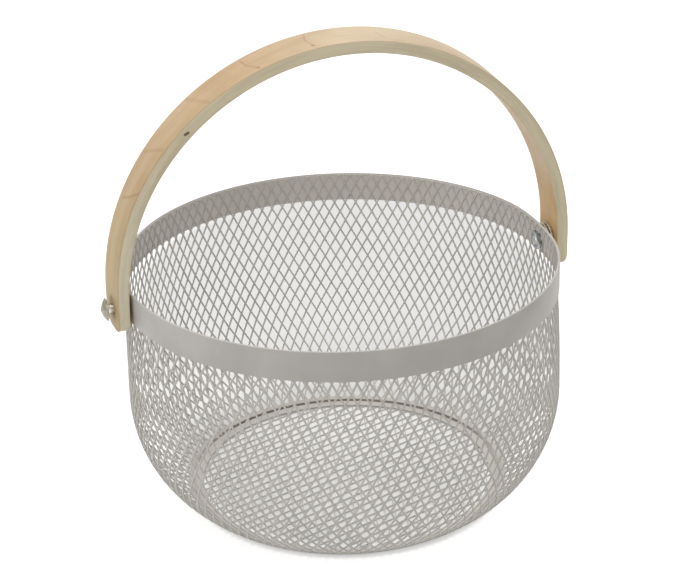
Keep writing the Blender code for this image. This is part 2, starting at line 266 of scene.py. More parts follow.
def spin_closed(steps):
    """Spins the opened line round the z axis into a closed skin that faces outwards."""
    bpy.ops.mesh.select_all(action="SELECT")
    bpy.ops.mesh.spin(steps=steps, angle=math.tau, center=(0, 0, 0), axis=(0, 0, 1))
    bpy.ops.mesh.select_all(action="SELECT")
    bpy.ops.mesh.remove_doubles(threshold=0.000002)
    bpy.ops.mesh.normals_make_consistent(inside=False)


def turned_piece(name, points, steps, soft_edge=0.0, segments=2):
    """A turned solid from the outline of its section, with its sharp edges softened."""
    piece = draw_line(name, points + [points[0]])
    spin_closed(steps)
    done()
    if soft_edge:
        apply(piece, "BEVEL", width=soft_edge, segments=segments, limit_method="ANGLE",
              angle_limit=math.radians(40), harden_normals=False)
    smooth(piece, 50)
    return piece


def flat_ring(name, inner, outer, bottom, top, steps, soft_edge):
    points = [(outer, top), (outer, bottom), (inner, bottom), (inner, top)]
    return turned_piece(name, points, steps, soft_edge)


def place_out(obj, side, distance):
    """Turns a piece that stands on z = 0 so that it points out at one side, at the pivot."""
    turn = Matrix.Rotation(side * math.radians(90), 4, "Y")
    obj.data.transform(Matrix.Translation((side * distance, 0, PIVOT_HEIGHT)) @ turn)


def portion(distance, whole):
    """How much of a length is covered, from 0 to 1."""
    return min(1, max(0, distance / whole))


def bell(angle, width):
    return math.exp(-(angle / width) ** 2)


def pull_out(obj):
    """Draws the band and the sheet out of round towards the left pivot, as its screw does.

    Above the right pivot, the band's top leans in a little.
    """
    for vert in obj.data.vertices:
        x, y, z = vert.co
        from_left = math.degrees(math.atan2(abs(y), -x))
        pull = LEFT_PULL * (0.5 * bell(from_left, PULL_NARROW) + 0.5 * bell(from_left, PULL_WIDE))
        fade = portion(z - PULL_BOTTOM, PULL_FADE)
        pull *= fade * fade * (3 - 2 * fade)
        lean = portion(z - LEAN_BOTTOM, LEAN_FADE)
        pull -= RIGHT_LEAN * lean * bell(180 - from_left, LEAN_WIDTH)
        vert.co += Vector((x, y, 0)).normalized() * pull


# Expanded sheet

def open_diamonds(obj):
    """Turns each square of an opened grid into staggered diamonds, corner to corner."""
    bpy.ops.mesh.select_all(action="SELECT")
    bpy.ops.mesh.poke(offset=0)
    pick(obj, "edges", lambda edge: len(edge.link_faces) == 2
         and all(len(vert.link_edges) > 4 for vert in edge.verts))
    bpy.ops.mesh.dissolve_edges(use_verts=False)


def press_sheet(obj, strand):
    """Leaves a strand round each diamond, blunts the eyes' points, and gives it thickness."""
    bpy.ops.mesh.select_mode(type="FACE")
    bpy.ops.mesh.select_all(action="SELECT")
    bpy.ops.mesh.inset(thickness=strand / 2, depth=0, use_individual=True,
                       use_even_offset=True, use_boundary=True)
    shape = bmesh.from_edit_mesh(obj.data)
    points = set()
    for face in shape.faces:
        if face.select:
            face.material_index = 1
            points.update(loop.vert.index for loop in face.loops
                          if loop.calc_angle() < math.radians(80))
    pick(obj, "verts", lambda vert: vert.index in points)
    bpy.ops.mesh.bevel(offset=EYE_BLUNTING, segments=1, affect="VERTICES")
    pick(obj, "faces", lambda face: face.material_index == 1)
    bpy.ops.mesh.delete(type="ONLY_FACE")
    bpy.ops.mesh.select_all(action="SELECT")
    bpy.ops.mesh.normals_make_consistent(inside=False)
    done()
    apply(obj, "SOLIDIFY", thickness=STRAND_THICKNESS, offset=-1, use_even_offset=True)


def wall_place(angle, along):
    """A point on the wall's outer side, along metres up its profile from the band's edge."""
    rise = BAND_BOTTOM - BELLY_HEIGHT
    draw_in = BELLY_RADIUS - WALL_TOP_RADIUS
    barrel_radius = (rise * rise + draw_in * draw_in) / (2 * draw_in)
    barrel_length = barrel_radius * math.asin(rise / barrel_radius)
    bend_length = BEND_RADIUS * BEND_ANGLE
    down = -along
    if down <= 0:
        radius = WALL_TOP_RADIUS + SINK_IN_BAND * min(1, 4 * along / SHEET_TOP)
        height = BAND_BOTTOM + along
    elif down <= barrel_length:
        turn = (barrel_length - down) / barrel_radius
        radius = BELLY_RADIUS - barrel_radius * (1 - math.cos(turn))
        height = BELLY_HEIGHT + barrel_radius * math.sin(turn)
    elif down <= barrel_length + bend_length:
        turn = (down - barrel_length) / BEND_RADIUS
        radius = BELLY_RADIUS - BEND_RADIUS * (1 - math.cos(turn))
        height = BELLY_HEIGHT - BEND_RADIUS * math.sin(turn)
    else:
        past = down - barrel_length - bend_length
        radius = BEND_END_RADIUS - past * math.sin(BEND_ANGLE)
        height = FOOT_RISE - past * math.cos(BEND_ANGLE)
    return Vector((radius * math.cos(angle), radius * math.sin(angle), height))


def make_wall_sheet():
    start()
    bpy.ops.mesh.primitive_cylinder_add(vertices=DIAMONDS_ROUND, radius=1, depth=DIAMOND_ROWS,
                                        end_fill_type="NOTHING")
    sheet = named("wall_sheet")
    pick(sheet, "edges", lambda edge: abs(edge.verts[0].co.z - edge.verts[1].co.z) > 0.5)
    bpy.ops.mesh.subdivide_edgering(number_cuts=DIAMOND_ROWS - 1, interpolation="LINEAR",
                                    smoothness=0)
    open_diamonds(sheet)
    pick(sheet, "faces", lambda face: face.calc_center_median().z < 0.5 - DIAMOND_ROWS / 2)
    bpy.ops.mesh.delete(type="FACE")
    shape = bmesh.from_edit_mesh(sheet.data)
    shape.verts.ensure_lookup_table()
    corner = next(vert for vert in shape.verts if abs(vert.co.z - DIAMOND_ROWS / 2) < 0.01)
    turn = SHEET_TURN - math.atan2(corner.co.y, corner.co.x)
    for vert in shape.verts:
        angle = math.atan2(vert.co.y, vert.co.x) + turn
        along = SHEET_TOP + (vert.co.z - DIAMOND_ROWS / 2) * DIAMOND_LENGTH
        vert.co = wall_place(angle, along)
    shape.normal_update()
    press_sheet(sheet, WALL_STRAND)
    start()
    bpy.ops.mesh.primitive_cylinder_add(vertices=90, radius=0.11, depth=0.02,
                                        location=(0, 0, SHEET_BOTTOM - 0.01))
    cut_away(sheet, bpy.context.object)
    noise.seed_set(SHEET_SEED)
    for vert in sheet.data.vertices:
        move = noise.noise_vector(vert.co * COARSE_WAVES) \
            + noise.noise_vector(vert.co * FINE_WAVES) * FINE_SHARE
        outward = Vector((vert.co.x, vert.co.y, 0)).normalized()
        vert.co += (move - outward * max(0, move.dot(outward))) * SHEET_UNEVENNESS
    pull_out(sheet)
    smooth(sheet, 180)
    return sheet


def make_base_sheet():
    start()
    across = math.ceil(BASE_REACH / DIAMOND_WIDTH) + 1
    down = math.ceil(BASE_REACH / DIAMOND_LENGTH) + 1
    bpy.ops.mesh.primitive_grid_add(x_subdivisions=2 * across, y_subdivisions=2 * down, size=2)
    sheet = named("base_sheet")
    bpy.ops.mesh.select_all(action="SELECT")
    bpy.ops.transform.resize(value=(across * DIAMOND_WIDTH, down * DIAMOND_LENGTH, 1))
    open_diamonds(sheet)
    inside = RING_INNER + BASE_STRAND
    pick(sheet, "faces", lambda face: min(vert.co.length for vert in face.verts) > inside)
    bpy.ops.mesh.delete(type="FACE")
    press_sheet(sheet, BASE_STRAND)
    start()
    bpy.ops.mesh.primitive_cylinder_add(vertices=180, radius=BASE_REACH, depth=0.01)
    cut_away(sheet, bpy.context.object, "INTERSECT")
    smooth(sheet, 180)
    sheet.data.transform(Matrix.Translation((0, 0, BASE_HEIGHT))
                         @ Matrix.Rotation(BASE_TURN, 4, "Z"))
    return sheet


def bend_point(height, inset):
    """A point of the bend's section, this high, and this far inside the wall's outer side."""
    turn = math.asin((BELLY_HEIGHT - height) / BEND_RADIUS)
    radius = BELLY_RADIUS - BEND_RADIUS * (1 - math.cos(turn))
    return (radius - inset * math.cos(turn), height + inset * math.sin(turn))


def make_foot_hem():
    """The wall's flattened bottom edge: a strip inside the foot, turned in as a flat flange."""
    skin = STRAND_THICKNESS + HEM_GAP
    points = [bend_point(height, skin) for height in HEM_INNER_HEIGHTS]
    points += [(HEM_BEND_RADIUS, FLANGE_THICKNESS), (FLANGE_INNER, FLANGE_THICKNESS),
               (FLANGE_INNER, 0), (FLANGE_OUTER, 0)]
    points += [bend_point(height, skin - HEM_THICKNESS) for height in HEM_OUTER_HEIGHTS]
    return turned_piece("foot_hem", points, FOOT_STEPS, FOOT_ROUNDING)


def make_rim():
    """The band: a strip round the sheet, with its top edge hemmed in over the sheet's."""
    band = turned_piece("rim_strip", [
        (BAND_OUTSIDE, BAND_BOTTOM), (BAND_OUTSIDE, BAND_TOP), (LIP_INSIDE, BAND_TOP),
        (LIP_INSIDE, BAND_TOP - LIP_DEPTH), (BAND_INSIDE, BAND_TOP - LIP_TAPER),
        (BAND_INSIDE, BAND_BOTTOM)], BAND_STEPS, BAND_ROUNDING, 4)
    pull_out(band)
    smooth(band, 60)
    return band


def make_handle():
    """The strip's section, raised up a leg, spun over the arch and lowered down the other."""
    start()
    bpy.ops.mesh.primitive_plane_add(size=1, location=(0, 0, 0))
    strip = named("bent_handle")
    bpy.ops.mesh.select_mode(type="FACE")
    bpy.ops.mesh.select_all(action="SELECT")
    bpy.ops.transform.resize(value=(HANDLE_THICKNESS, HANDLE_WIDTH, 1))
    bpy.ops.transform.translate(value=(-HANDLE_MIDDLE, 0, -LEFT_LEG))
    bpy.ops.mesh.extrude_region_move(TRANSFORM_OT_translate={"value": (0, 0, LEFT_LEG)})
    bpy.ops.mesh.extrude_region_move(TRANSFORM_OT_translate={"value": (0, 0, ARCH_RISE)})
    bpy.ops.mesh.spin(steps=ARCH_STEPS, angle=math.pi, center=(0, 0, ARCH_RISE),
                      axis=(0, -1, 0))
    bpy.ops.mesh.extrude_region_move(TRANSFORM_OT_translate={"value": (0, 0, -ARCH_RISE)})
    bpy.ops.mesh.extrude_region_move(TRANSFORM_OT_translate={"value": (0, 0, -RIGHT_LEG)})
    bpy.ops.mesh.select_all(action="SELECT")
    bpy.ops.mesh.remove_doubles(threshold=0.000002)
    bpy.ops.mesh.normals_make_consistent(inside=False)
    pick(strip, "edges", lambda edge: abs(edge.verts[0].co.y - edge.verts[1].co.y) < 0.0001
         and edge_middle(edge).z < 0.0001 - LEFT_LEG)
    bpy.ops.mesh.bevel(offset=LEG_CORNER, segments=10, affect="EDGES", clamp_overlap=True)
    done()
    apply(strip, "BEVEL", width=HANDLE_ROUNDING, segments=3, limit_method="ANGLE",
          angle_limit=math.radians(50))
    for side in (-1, 1):
        start()
        bpy.ops.mesh.primitive_cylinder_add(
            vertices=48, radius=HOLE_RADIUS, depth=2 * HANDLE_THICKNESS,
            location=(side * HANDLE_MIDDLE, 0, 0), rotation=(0, math.radians(90), 0))
        cut_away(strip, bpy.context.object)
    mark_along(strip)
    strip.data.transform(Matrix.Translation((HANDLE_SHIFT, 0, PIVOT_HEIGHT))
                         @ Matrix.Rotation(HANDLE_LEAN, 4, "X"))
    smooth(strip, 40)
    return strip


def mark_along(strip):
    """Writes where each point lies in the straight strip: along, across and through it.

    The strip is also dressed a little thinner towards its two ends, and its left leg is wound
    a little inwards.
    """
    where = strip.data.attributes.new("strip", "FLOAT_VECTOR", "POINT")
    for vert, value in zip(strip.data.vertices, where.data):
        x, y, z = vert.co
        if z < ARCH_RISE:
            side = -1 if x < 0 else 1
            along = side * (ARCH_RISE - z + HANDLE_OUTER * math.pi / 2)
            depth = HANDLE_OUTER - abs(x)
            inwards = Vector((-side, 0, 0))
        else:
            rise = z - ARCH_RISE
            along = HANDLE_OUTER * math.atan2(x, rise)
            depth = HANDLE_OUTER - math.hypot(x, rise)
            inwards = -Vector((x, 0, rise)).normalized()
        value.vector = (along, y, depth)
        near_end = portion(THINNING_TOP - z, THINNING_FADE)
        vert.co -= inwards * depth * near_end * LEG_THINNING[-1 if x < 0 else 1]
        if x < 0:
            near_end = portion(TWIST_TOP - z, TWIST_TOP)
            near_end *= near_end * (3 - 2 * near_end)
            middle = Vector((-HANDLE_MIDDLE, 0, z))
            wind = Matrix.Rotation(LEFT_LEG_TWIST * near_end, 3, "Z")
            vert.co = middle + wind @ (vert.co - middle)
            vert.co.x += LEFT_LEG_SHIFT * near_end


# Pivots

def make_screw(end, side):
    flat_rise = HEAD_HEIGHT - HEAD_EDGE
    dome_radius = (HEAD_RADIUS ** 2 + flat_rise ** 2) / (2 * flat_rise)
    dome_angle = math.asin(HEAD_RADIUS / dome_radius)
    points = []
    for index in range(13):
        angle = dome_angle * index / 12
        points.append((dome_radius * math.sin(angle),
                       HEAD_HEIGHT - dome_radius * (1 - math.cos(angle))))
    tip = -(HEAD_BASE[side] - NUT_INSIDE[side] + TIP_PAST_NUT)
    points += [(HEAD_RADIUS, HEAD_EDGE), (HEAD_RADIUS - HEAD_EDGE, 0),
               (SHANK_RADIUS + SHANK_CHAMFER, 0), (SHANK_RADIUS, -SHANK_CHAMFER),
               (SHANK_RADIUS, tip + THREAD_LENGTH + SHANK_CHAMFER)]
    for index in range(THREAD_TURNS):
        height = tip + THREAD_LENGTH - index * THREAD_PITCH
        points += [(SHANK_RADIUS - THREAD_DEPTH, height),
                   (SHANK_RADIUS, height - THREAD_PITCH / 2)]
    points += [(SHANK_RADIUS - TIP_CHAMFER, tip), (0, tip)]
    screw = draw_line("screw_" + end, points)
    spin_closed(48)
    done()
    for turn in (0, math.radians(90)):
        start()
        bpy.ops.mesh.primitive_cube_add(size=1, location=(0, 0, HEAD_HEIGHT + RECESS_RISE))
        bar = bpy.context.object
        bar.scale = RECESS_BAR
        bar.rotation_euler = (0, 0, turn + RECESS_TURN)
        cut_away(screw, bar)
    smooth(screw, 35)
    place_out(screw, side, HEAD_BASE[side])
    return screw


def make_nut(end):
    half = NUT_THICKNESS / 2
    shoulder = half - NUT_CHAMFER
    mouth = half - BORE_CHAMFER
    mouth_radius = NUT_BORE + BORE_CHAMFER
    nut = turned_piece("hex_nut_" + end, [
        (NUT_HALF_WIDTH, half), (NUT_CORNER, shoulder), (NUT_CORNER, -shoulder),
        (NUT_HALF_WIDTH, -half), (mouth_radius, -half), (NUT_BORE, -mouth), (NUT_BORE, mouth),
        (mouth_radius, half)], 72)
    start()
    bpy.ops.mesh.primitive_cylinder_add(
        vertices=6, radius=NUT_HALF_WIDTH / math.cos(math.radians(30)), depth=0.006)
    cut_away(nut, bpy.context.object, "INTERSECT")
    smooth(nut, 30)
    return nut


# Materials

class Signal:
    """An output of a material's nodes, which +, -, * and ** work on."""

    def __init__(self, finish, socket):
        self.finish = finish
        self.socket = socket

    def sum_of(self, operation, first, second):
        return self.finish.node("ShaderNodeMath", {"operation": operation},
                                {0: first, 1: second})

    def __add__(self, other):
        return self.sum_of("ADD", self, other)

    def __sub__(self, other):
        return self.sum_of("SUBTRACT", self, other)

    def __rsub__(self, other):
        return self.sum_of("SUBTRACT", other, self)

    def __mul__(self, other):
        return self.sum_of("MULTIPLY", self, other)

    def __pow__(self, other):
        return self.sum_of("POWER", self, other)

    __radd__ = __add__
    __rmul__ = __mul__

    def least(self, other):
        return self.sum_of("MINIMUM", self, other)

    def most(self, other):
        return self.sum_of("MAXIMUM", self, other)

    def times(self, colour):
        """This colour, multiplied by another one."""
        return self.finish.mix(1.0, self, colour, "MULTIPLY")


class Nodes:
    """The nodes of a material or of the studio's light."""

    def __init__(self, owner):
        owner.use_nodes = True
        self.tree = owner.node_tree

    def node(self, kind, settings=None, sockets=None, output=0):
        node = self.tree.nodes.new(kind)
        for name, value in (settings or {}).items():
            setattr(node, name, value)
        for name, value in (sockets or {}).items():
            self.feed(node.inputs[name], value)
        return Signal(self, node.outputs[output])

    def feed(self, socket, value):
        if isinstance(value, Signal):
            self.tree.links.new(value.socket, socket)
        else:
            socket.default_value = value

    def parts(self, vector):
        """The three numbers of a vector."""
        split = self.node("ShaderNodeSeparateXYZ", {}, {"Vector": vector}).socket.node
        return [Signal(self, socket) for socket in split.outputs]

    def seen(self):
        """1 where the camera, a reflection or glass looks, and 0 where light falls."""
        rays = self.node("ShaderNodeLightPath").socket.node
        kinds = [Signal(self, rays.outputs["Is %s Ray" % kind])
                 for kind in ("Camera", "Glossy", "Transmission")]
        return kinds[0].most(kinds[1]).most(kinds[2])


class Finish(Nodes):
    """A material with a Principled shader, and what feeds it."""

    def __init__(self, name, roughness=0.5, metallic=0.0, specular=0.5):
        self.material = bpy.data.materials.new(name)
        super().__init__(self.material)
        self.shader = self.tree.nodes["Principled BSDF"]
        self.shader.inputs["Roughness"].default_value = roughness
        self.shader.inputs["Metallic"].default_value = metallic
        self.shader.inputs["Specular IOR Level"].default_value = specular

    def give(self, **values):
        for name, value in values.items():
            self.feed(self.shader.inputs[name.replace("_", " ")], value)

    def place(self):
        return self.node("ShaderNodeTexCoord", output="Object")

    def stretched(self, vector, scale, offset=(0, 0, 0)):
        return self.node("ShaderNodeMapping", {}, {"Vector": vector, "Scale": scale,
                                                   "Location": offset})

    def noise(self, vector, scale, detail=2.0, roughness=0.5, distortion=0.0):
        return self.node("ShaderNodeTexNoise", {}, {
            "Vector": vector, "Scale": scale, "Detail": detail, "Roughness": roughness,
            "Distortion": distortion})

    def ramp(self, factor, low, high, start_value=0.0, end_value=1.0):
        return self.node("ShaderNodeMapRange", {"interpolation_type": "SMOOTHSTEP"}, {
            "Value": factor, "From Min": low, "From Max": high, "To Min": start_value,
            "To Max": end_value})

    def mix(self, factor, first, second, blend="MIX"):
        return self.node("ShaderNodeMix", {"data_type": "RGBA", "blend_type": blend},
                         {0: factor, 6: first, 7: second}, output=2)

    def bump(self, height, distance, strength=1.0):
        return self.node("ShaderNodeBump", {}, {"Height": height, "Distance": distance,
                                                "Strength": strength})


def rgb(red, green, blue):
    """A colour's linear value, from the 0 to 255 numbers that a screen shows."""
    def linear(level):
        level /= 255
        return level / 12.92 if level <= 0.04045 else ((level + 0.055) / 1.055) ** 2.4
    return (linear(red), linear(green), linear(blue), 1)


# The coat's greys, with the shade and light painted into them
# The band's grey is the strands' coat painted darker: painted shade
BAND_SHADE_GREY = rgb(191, 187, 182)
STRAND_GREY = rgb(201, 197, 191)
# Painted shade, on the strands inside the band
COVERED_SHADE_GREY = rgb(189, 183, 177)
# Painted light: the band's back is painted lighter than its front
FAR_BAND_LIT_GREY = rgb(212, 208, 203)
# Painted shade along the far part of the rim's top edge
FAR_EDGE_SHADE_GREY = rgb(140, 134, 128)
# Painted shade, low on the foot
FOOT_SHADE_GREY = rgb(154, 145, 135)
# Painted shade, brown, in the far part of the foot's crevice
CREVICE_SHADE_BROWN = rgb(100, 88, 77)

# How much further out the crevice's slanted side lies, for each metre of height
CREVICE_LEAN = 1.463

# The wood, outside from left to right, then inside, edges and knot
END_FAWN = rgb(194, 175, 134)
LEFT_FAWN = rgb(187, 161, 127)
# The middle fawn is paler than the legs' fawns: a sheen painted on the arch's top
MIDDLE_FAWN_AND_SHEEN = rgb(206, 187, 159)
RIGHT_FAWN = rgb(199, 178, 145)
INSIDE_CREAM = rgb(231, 208, 179)
INSIDE_END_TAN = rgb(214, 181, 134)
EDGE_CREAM = rgb(226, 214, 183)
EDGE_TAN = rgb(212, 198, 167)
KNOT_BROWN = rgb(98, 66, 30)

# What darkens or lightens the wood's colour
WAVE_DARK = (0.94, 0.92, 0.88, 1)
WAVE_LIGHT = (1.04, 1.045, 1.06, 1)
PATCH_TINT = (0.88, 0.83, 0.76, 1)
STREAK_TINT = (0.86, 0.79, 0.70, 1)
# The marks' tint also paints the shadow at the left screw's head
MARK_AND_SHADOW_TINT = (0.62, 0.43, 0.30, 1)
FIBRE_TINT = (0.90, 0.85, 0.78, 1)

# The wood's marks, and one painted shadow: from, to (along and across the strip), half width and
# strength
BIRCH_MARKS_AND_SHADOW = [
    ((-0.0168, 0.0100), (-0.0186, 0.0011), 0.0009, 0.40),
    ((-0.0186, 0.0011), (-0.0166, -0.0085), 0.0009, 0.40),
    ((-0.0172, -0.0072), (-0.0168, -0.0079), 0.0014, 0.95),
    ((0.0223, 0.0024), (0.0247, -0.0080), 0.0006, 0.40),
    ((-0.0550, 0.0092), (-0.0538, -0.0007), 0.0010, 0.34),
    ((-0.0538, -0.0007), (-0.0494, -0.0100), 0.0010, 0.34),
    ((-0.0500, -0.0085), (-0.0496, -0.0093), 0.0014, 0.70),
    ((-0.0912, 0.0105), (-0.0824, -0.0111), 0.0018, 0.22),
    ((-0.1280, 0.0098), (-0.1187, -0.0093), 0.0017, 0.26),
    ((-0.1568, 0.0077), (-0.1515, -0.0029), 0.0013, 0.36),
    ((-0.1515, -0.0029), (-0.1457, -0.0117), 0.0013, 0.36),
    # Painted shadow of the left screw's head, on the wood at its top rim
    ((-0.2139, 0.0016), (-0.2138, 0.0004), 0.0020, 0.60),
]


def behind(x, y):
    """How far a point lies beyond the bowl's axis, as the camera looks."""
    return x * math.sin(-CAMERA_TURN) + y * math.cos(CAMERA_TURN)


def grey_coat(name, colour, part=""):
    """Satin powder coat: a warm grey with a faint mottle and a fine orange peel.

    Shade is painted into it: brown shade in the far part of the foot's crevice, and darker grey
    low on the foot, on the sheet's strands where the band covers them, and along the far part of
    the rim's top edge. Light is painted into the band's back, which is lighter.
    """
    coat = Finish(name, roughness=0.42, specular=0.25)
    place = coat.place()
    cloud = coat.noise(place, 38, 3)
    grain = coat.noise(place, 2600, 2)
    light = tuple(min(1, level * 1.05) for level in colour[:3]) + (1,)
    dark = tuple(level * 0.94 for level in colour[:3]) + (1,)
    colour = coat.mix(coat.ramp(cloud, 0.3, 0.7), dark, light)
    x, y, height = coat.parts(place)
    if part == "foot":
        inwards = (x * x + y * y) ** 0.5 - height * CREVICE_LEAN
        # Painted shade: the foot is darker near the floor
        low = coat.ramp(height, 0.0006, 0.0016, 1, 0)
        # Painted shade: the crevice's slanted side turns brown, more so towards the back
        crevice_shade = coat.ramp(height, 0.0020, 0.0024, 1, 0) \
            * coat.ramp(inwards, 0.0898, 0.0901, 1, 0) \
            * coat.ramp(behind(x, y), -0.010, 0.075, 0, 0.95)
        colour = coat.mix(low, colour, FOOT_SHADE_GREY)
        colour = coat.mix(crevice_shade, colour, CREVICE_SHADE_BROWN)
    elif part == "sheet":
        # Painted shade: the strands are darker where the band covers them
        covered_shade = coat.ramp(height, BAND_BOTTOM + 0.0002, BAND_BOTTOM + 0.0012)
        colour = coat.mix(covered_shade, colour, COVERED_SHADE_GREY)
    elif part == "rim":
        # Painted shade: the far part of the rim's top edge is darkened
        edge = coat.ramp(height, BAND_TOP - 0.0005, BAND_TOP - 0.0002) \
            * coat.ramp(behind(x, y), 0.02, 0.07, 0, 0.8)
        # Painted light: the band turns lighter towards the back
        colour = coat.mix(coat.ramp(behind(x, y), -0.02, 0.03), colour, FAR_BAND_LIT_GREY)
        colour = coat.mix(edge, colour, FAR_EDGE_SHADE_GREY)
    coat.give(Base_Color=colour,
              Roughness=coat.ramp(grain, 0.2, 0.8, 0.36, 0.50),
              Normal=coat.bump(grain, 0.00003, 0.6))
    return coat.material


def far_from_line(along, across, start, end):
    """How far a point lies from a short straight line on the strip."""
    run = (end[0] - start[0], end[1] - start[1])
    square = run[0] ** 2 + run[1] ** 2
    part = (along - start[0]) * (run[0] / square) + (across - start[1]) * (run[1] / square)
    part = part.most(0).least(1)
    beside = along - start[0] - part * run[0]
    above = across - start[1] - part * run[1]
    return (beside * beside + above * above) ** 0.5


def birch():
    """Pale bent birch: pinker and darker on the left, creamy on the right and inside.
    Over the arch's top its colour is paler: a painted sheen.

    Its grain runs along the strip, and a few fine brown marks cross it. A painted shadow darkens
    the wood at the top rim of the left screw's head. Its edges are greyer.
    """
    wood = Finish("birch", roughness=0.55, specular=0.35)
    strip = wood.node("ShaderNodeAttribute", {"attribute_name": "strip"}, output="Vector")
    along, across, depth = wood.parts(strip)
    waves = wood.noise(wood.stretched(strip, (9, 30, 55)), 1, 3, 0.55, 1.2)
    streaks = wood.noise(wood.stretched(strip, (22, 420, 420)), 1, 3, 0.6)
    fibres = wood.noise(wood.stretched(strip, (90, 2600, 2600)), 1, 2, 0.6)
    patches = wood.noise(wood.stretched(strip, (34, 60, 60), (4, 1, 7)), 1, 2, 0.5, 0.6)
    drift = along + (waves - 0.5) * 0.012
    # Towards the arch's top the colour turns to the paler middle fawn, which carries painted
    # sheen
    outside = wood.mix(wood.ramp(drift, -0.055, 0.010), LEFT_FAWN, MIDDLE_FAWN_AND_SHEEN)
    outside = wood.mix(wood.ramp(drift, 0.080, 0.140), outside, RIGHT_FAWN)
    outside = wood.mix(wood.ramp(along, -0.195, -0.130, 0.7, 0), outside, END_FAWN)
    inside = wood.mix(wood.ramp(along * along, 0.155 ** 2, 0.192 ** 2), INSIDE_CREAM,
                      INSIDE_END_TAN)
    face = wood.mix(wood.ramp(depth, 0.0060, 0.0070), outside, inside)
    face = wood.mix(wood.ramp(waves, 0.36, 0.66), WAVE_DARK, WAVE_LIGHT).times(face)
    face = wood.mix(wood.ramp(patches, 0.45, 0.75, 0, 0.7), face, face.times(PATCH_TINT))
    face = wood.mix(wood.ramp(streaks, 0.52, 0.8, 0, 0.5), face, face.times(STREAK_TINT))
    # The marks, and the painted shadow at the left screw's head, darken the face
    marks_and_shadow = 0
    wander = (patches - 0.5) * 0.0012
    for mark_start, mark_end, width, strength in BIRCH_MARKS_AND_SHADOW:
        near = far_from_line(along + wander, across, mark_start, mark_end)
        mark = wood.ramp(near, width * 0.25, width, strength, 0)
        marks_and_shadow = mark.most(marks_and_shadow)
    face = wood.mix(marks_and_shadow, face, face.times(MARK_AND_SHADOW_TINT))
    edge = wood.mix(wood.ramp(streaks, 0.35, 0.7), EDGE_CREAM, EDGE_TAN)
    edge = wood.mix(wood.ramp(along, -0.17, -0.12, 0.13, 0), edge, (1, 1, 0.92, 1))
    knot = wood.ramp(far_from_line(along, depth, (-0.1040, 0.0033), (-0.1020, 0.0039)),
                     0.0004, 0.0011, 0.95, 0) * wood.ramp(across, -0.0120, -0.0115, 1, 0)
    edge = wood.mix(knot, edge, KNOT_BROWN)
    on_edge = wood.ramp(depth, 0.0002, 0.0007) * wood.ramp(depth, 0.0066, 0.0071, 1, 0)
    colour = wood.mix(on_edge, face, edge)
    colour = wood.mix(wood.ramp(fibres, 0.56, 0.74, 0, 0.7), colour, colour.times(FIBRE_TINT))
    wood.give(Base_Color=colour,
              Roughness=wood.ramp(streaks, 0.3, 0.7, 0.48, 0.62),
              Normal=wood.bump(fibres * 0.6 + streaks * 0.4, 0.00006, 0.5))
    return wood.material


# Each plating's dark and light tone, and its roughness
ZINC = {
    "screw": (rgb(196, 193, 184), rgb(222, 219, 210), 0.18),
    "nut": (rgb(150, 153, 159), rgb(184, 187, 192), 0.24),
    "bright": (rgb(196, 192, 182), rgb(228, 225, 216), 0.30),
    # Painted shade: the left washers sit in the slot's shade, and this zinc is painted dark brown
    # for it
    "painted_shade": (rgb(66, 54, 44), rgb(92, 77, 63), 0.45),
}
# Painted shade: a screw's head is darkened
HEAD_SHADE_TINT = (0.44, 0.42, 0.37, 1)


def zinc_plate(kind):
    """Zinc plating, a little cloudy. A screw's head is painted darker than its shank: painted
    shade.
    """
    dark, light, roughness = ZINC[kind]
    zinc = Finish(kind + "_zinc", roughness=roughness, metallic=1.0)
    place = zinc.place()
    cloud = zinc.noise(place, 450, 3)
    colour = zinc.mix(zinc.ramp(cloud, 0.35, 0.65), dark, light)
    if kind == "screw":
        x = zinc.parts(place)[0]
        # Painted shade on the head, out from the head's base
        colour = zinc.mix(zinc.ramp(x * x, 0.1380 ** 2, 0.1386 ** 2), colour,
                          colour.times(HEAD_SHADE_TINT))
    zinc.give(Base_Color=colour,
              Roughness=zinc.ramp(cloud, 0.3, 0.7, roughness - 0.05, roughness + 0.07),
              Normal=zinc.bump(cloud, 0.00001, 0.15))
    return zinc.material


def wear(obj, material):
    obj.data.materials.clear()
    obj.data.materials.append(material)


def add_piece(obj, body, slot, material, *nodes):
    wear(obj, material)
    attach(obj, body)
    if nodes:
        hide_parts(*nodes)


# Stage

WORLD_LIGHT = 0.48
PAPER_WHITE = (0.76, 0.76, 0.755, 1)
FLOOR_GLOW = 0.53

# The painted shadow that the floor shows through the basket: a grey patch of lower glow, a
# rounded shape that widens backwards
PATCH_RADIUS = 0.155
PATCH_NARROWING = 0.063
PATCH_CURVE = 11.8
PATCH_LENGTH = 0.29

# The lamps: place, size and power
LAMP_AIM = (0, 0, 0.08)
LAMPS = {
    "overhead_softbox": ((-0.30, 0.04, 1.5), 1.4, 14.5),
    "left_softbox": ((-1.3, -0.2, 0.6), 1.2, 2.0),
    "right_softbox": ((1.1, 0.45, 0.9), 1.2, 2.0),
}


